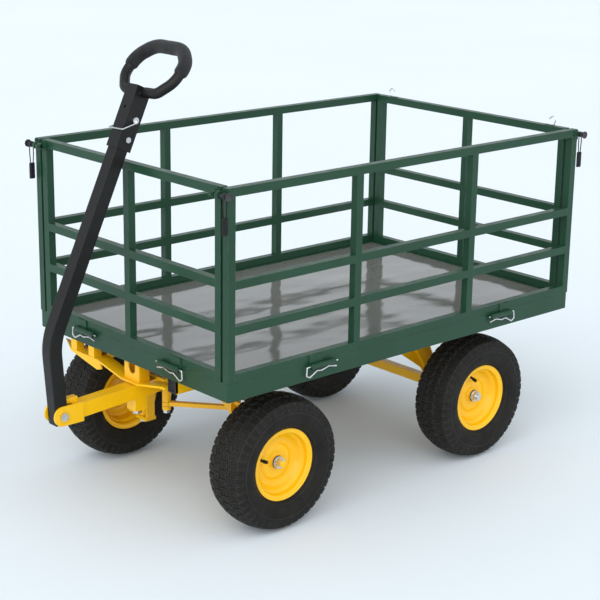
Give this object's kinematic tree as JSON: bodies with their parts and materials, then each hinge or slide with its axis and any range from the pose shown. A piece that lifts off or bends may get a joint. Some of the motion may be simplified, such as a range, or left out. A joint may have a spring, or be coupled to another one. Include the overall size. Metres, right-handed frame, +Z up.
{
  "type": "garden cart",
  "caption": "Steel garden cart with drop-down lattice sides, steered front wheels and a tow handle ending in a padded loop grip.",
  "frame": {"origin": "on the floor, under the middle of the cart's overall length and width", "axes": "+X forward to the handle, +Y to the cart's left, +Z up"},
  "size_m": [1.4567, 0.796, 1.1416],
  "materials": {
    "green_paint": "semi-gloss powder coat",
    "deck_grey": "gloss grey enamel on sheet steel",
    "yellow_paint": "gloss powder coat",
    "zinc": "bright zinc plate",
    "black_paint": "gloss black powder coat",
    "latch_steel": "dark oiled steel",
    "foam": "closed-cell foam sleeve",
    "pull_rubber": "moulded sleeve on wire",
    "tyre_rubber": "matt treaded rubber",
    "bush_plastic": "nylon"
  },
  "bodies": {
    "bed": {"bed_frame": "green_paint", "deck_sheet": "deck_grey", "deck_crossmembers": "green_paint", "chassis_rails": "yellow_paint", "front_strap": "yellow_paint", "steering_head": "yellow_paint", "steering_bolt": "zinc", "front_axle_beam": "yellow_paint", "kingpins": "zinc", "rear_axle_tube": "yellow_paint", "rear_axle_shaft": "zinc", "rear_axle_nuts": "zinc", "rear_brackets": "yellow_paint", "rim_hinge_knuckles": "green_paint", "hinge_clips": "zinc", "front_panel": "green_paint", "front_latch_keepers": "green_paint"},
    "left_side": {"left_panel": "green_paint", "latch_brackets_left": "green_paint"},
    "right_side": {"right_panel": "green_paint", "latch_brackets_right": "green_paint"},
    "rear_gate": {"rear_panel": "green_paint", "rear_latch_keepers": "green_paint", "rear_spring_hooks": "zinc"},
    "tongue": {"tongue": "yellow_paint", "tongue_bolts": "zinc"},
    "handle": {"handle_tube": "black_paint", "grip_channel": "black_paint", "grip_loop": "black_paint", "grip_foam": "foam", "grip_pivot_bolt": "zinc", "lock_pin": "zinc", "lock_pin_bail": "zinc"},
    "tie_left": {"tie_rod_left": "yellow_paint"},
    "tie_right": {"tie_rod_right": "yellow_paint"},
    "knuckle_left": {"steering_knuckle_left": "yellow_paint", "knuckle_fasteners_left": "zinc"},
    "knuckle_right": {"steering_knuckle_right": "yellow_paint", "knuckle_fasteners_right": "zinc"},
    "wheel_front_left": {"tyre_front_left": "tyre_rubber", "rim_front_left": "yellow_paint", "wheel_bushes_front_left": "bush_plastic"},
    "latch_front_left": {"latch_pin_front_left": "latch_steel"},
    "pull_front_left": {"latch_pull_front_left": "pull_rubber"},
    "wheel_front_right": {"tyre_front_right": "tyre_rubber", "rim_front_right": "yellow_paint", "wheel_bushes_front_right": "bush_plastic"},
    "latch_front_right": {"latch_pin_front_right": "latch_steel"},
    "pull_front_right": {"latch_pull_front_right": "pull_rubber"},
    "wheel_rear_left": {"tyre_rear_left": "tyre_rubber", "rim_rear_left": "yellow_paint", "wheel_bushes_rear_left": "bush_plastic"},
    "latch_rear_left": {"latch_pin_rear_left": "latch_steel"},
    "pull_rear_left": {"latch_pull_rear_left": "pull_rubber"},
    "wheel_rear_right": {"tyre_rear_right": "tyre_rubber", "rim_rear_right": "yellow_paint", "wheel_bushes_rear_right": "bush_plastic"},
    "latch_rear_right": {"latch_pin_rear_right": "latch_steel"},
    "pull_rear_right": {"latch_pull_rear_right": "pull_rubber"}
  },
  "joints": [
    {"name": "left_side_fold", "type": "hinge", "parent": "bed", "child": "left_side", "pos_m": [-0.1053, 0.3895, 0.413], "axis": [-1, 0, 0], "range_deg": [0, 150]},
    {"name": "right_side_fold", "type": "hinge", "parent": "bed", "child": "right_side", "pos_m": [-0.1053, -0.3895, 0.413], "axis": [1, 0, 0], "range_deg": [0, 150]},
    {"name": "rear_gate_fold", "type": "hinge", "parent": "bed", "child": "rear_gate", "pos_m": [-0.7138, 0, 0.413], "axis": [0, -1, 0], "range_deg": [0, 150]},
    {"name": "steering", "type": "hinge", "parent": "bed", "child": "tongue", "pos_m": [0.4697, 0, 0.3], "axis": [0, 0, 1], "range_deg": [-25, 25]},
    {"name": "handle_pitch", "type": "hinge", "parent": "tongue", "child": "handle", "pos_m": [0.6997, 0, 0.29], "axis": [0, 1, 0], "range_deg": [0, 120]},
    {"name": "knuckle_left_steer", "type": "hinge", "parent": "bed", "child": "knuckle_left", "pos_m": [0.2977, 0.206, 0.2], "axis": [0, 0, 1], "range_deg": [-25, 25]},
    {"name": "tie_rod_left_swing", "type": "hinge", "parent": "tongue", "child": "tie_left", "pos_m": [0.3797, 0, 0.24], "axis": [0, 0, 1], "range_deg": [-25, 25]},
    {"name": "knuckle_right_steer", "type": "hinge", "parent": "bed", "child": "knuckle_right", "pos_m": [0.2977, -0.206, 0.2], "axis": [0, 0, 1], "range_deg": [-25, 25]},
    {"name": "tie_rod_right_swing", "type": "hinge", "parent": "tongue", "child": "tie_right", "pos_m": [0.3797, 0, 0.24], "axis": [0, 0, 1], "range_deg": [-25, 25]},
    {"name": "wheel_front_left_spin", "type": "hinge", "parent": "knuckle_left", "child": "wheel_front_left", "pos_m": [0.2977, 0.312, 0.167], "axis": [0, 1, 0], "continuous": true},
    {"name": "wheel_front_right_spin", "type": "hinge", "parent": "knuckle_right", "child": "wheel_front_right", "pos_m": [0.2977, -0.312, 0.167], "axis": [0, 1, 0], "continuous": true},
    {"name": "wheel_rear_left_spin", "type": "hinge", "parent": "bed", "child": "wheel_rear_left", "pos_m": [-0.4173, 0.297, 0.167], "axis": [0, 1, 0], "continuous": true},
    {"name": "wheel_rear_right_spin", "type": "hinge", "parent": "bed", "child": "wheel_rear_right", "pos_m": [-0.4173, -0.297, 0.167], "axis": [0, 1, 0], "continuous": true},
    {"name": "latch_front_left_slide", "type": "slide", "parent": "left_side", "child": "latch_front_left", "axis": [0, -1, 0], "range_m": [0, 0.012]},
    {"name": "pull_front_left_swing", "type": "hinge", "parent": "latch_front_left", "child": "pull_front_left", "pos_m": [0.5067, 0.382, 0.8555], "axis": [0, -1, 0], "range_deg": [0, 165]},
    {"name": "latch_front_right_slide", "type": "slide", "parent": "right_side", "child": "latch_front_right", "axis": [0, 1, 0], "range_m": [0, 0.012]},
    {"name": "pull_front_right_swing", "type": "hinge", "parent": "latch_front_right", "child": "pull_front_right", "pos_m": [0.5067, -0.382, 0.8555], "axis": [0, -1, 0], "range_deg": [0, 165]},
    {"name": "latch_rear_left_slide", "type": "slide", "parent": "left_side", "child": "latch_rear_left", "axis": [0, -1, 0], "range_m": [0, 0.012]},
    {"name": "pull_rear_left_swing", "type": "hinge", "parent": "latch_rear_left", "child": "pull_rear_left", "pos_m": [-0.7173, 0.382, 0.8555], "axis": [0, 1, 0], "range_deg": [0, 165]},
    {"name": "latch_rear_right_slide", "type": "slide", "parent": "right_side", "child": "latch_rear_right", "axis": [0, 1, 0], "range_m": [0, 0.012]},
    {"name": "pull_rear_right_swing", "type": "hinge", "parent": "latch_rear_right", "child": "pull_rear_right", "pos_m": [-0.7173, -0.382, 0.8555], "axis": [0, 1, 0], "range_deg": [0, 165]}
  ],
  "couplings": [
    {"joint": "knuckle_left_steer", "follows": "steering", "ratio": 1},
    {"joint": "tie_rod_left_swing", "follows": "steering", "ratio": -1},
    {"joint": "knuckle_right_steer", "follows": "steering", "ratio": 1},
    {"joint": "tie_rod_right_swing", "follows": "steering", "ratio": -1}
  ]
}
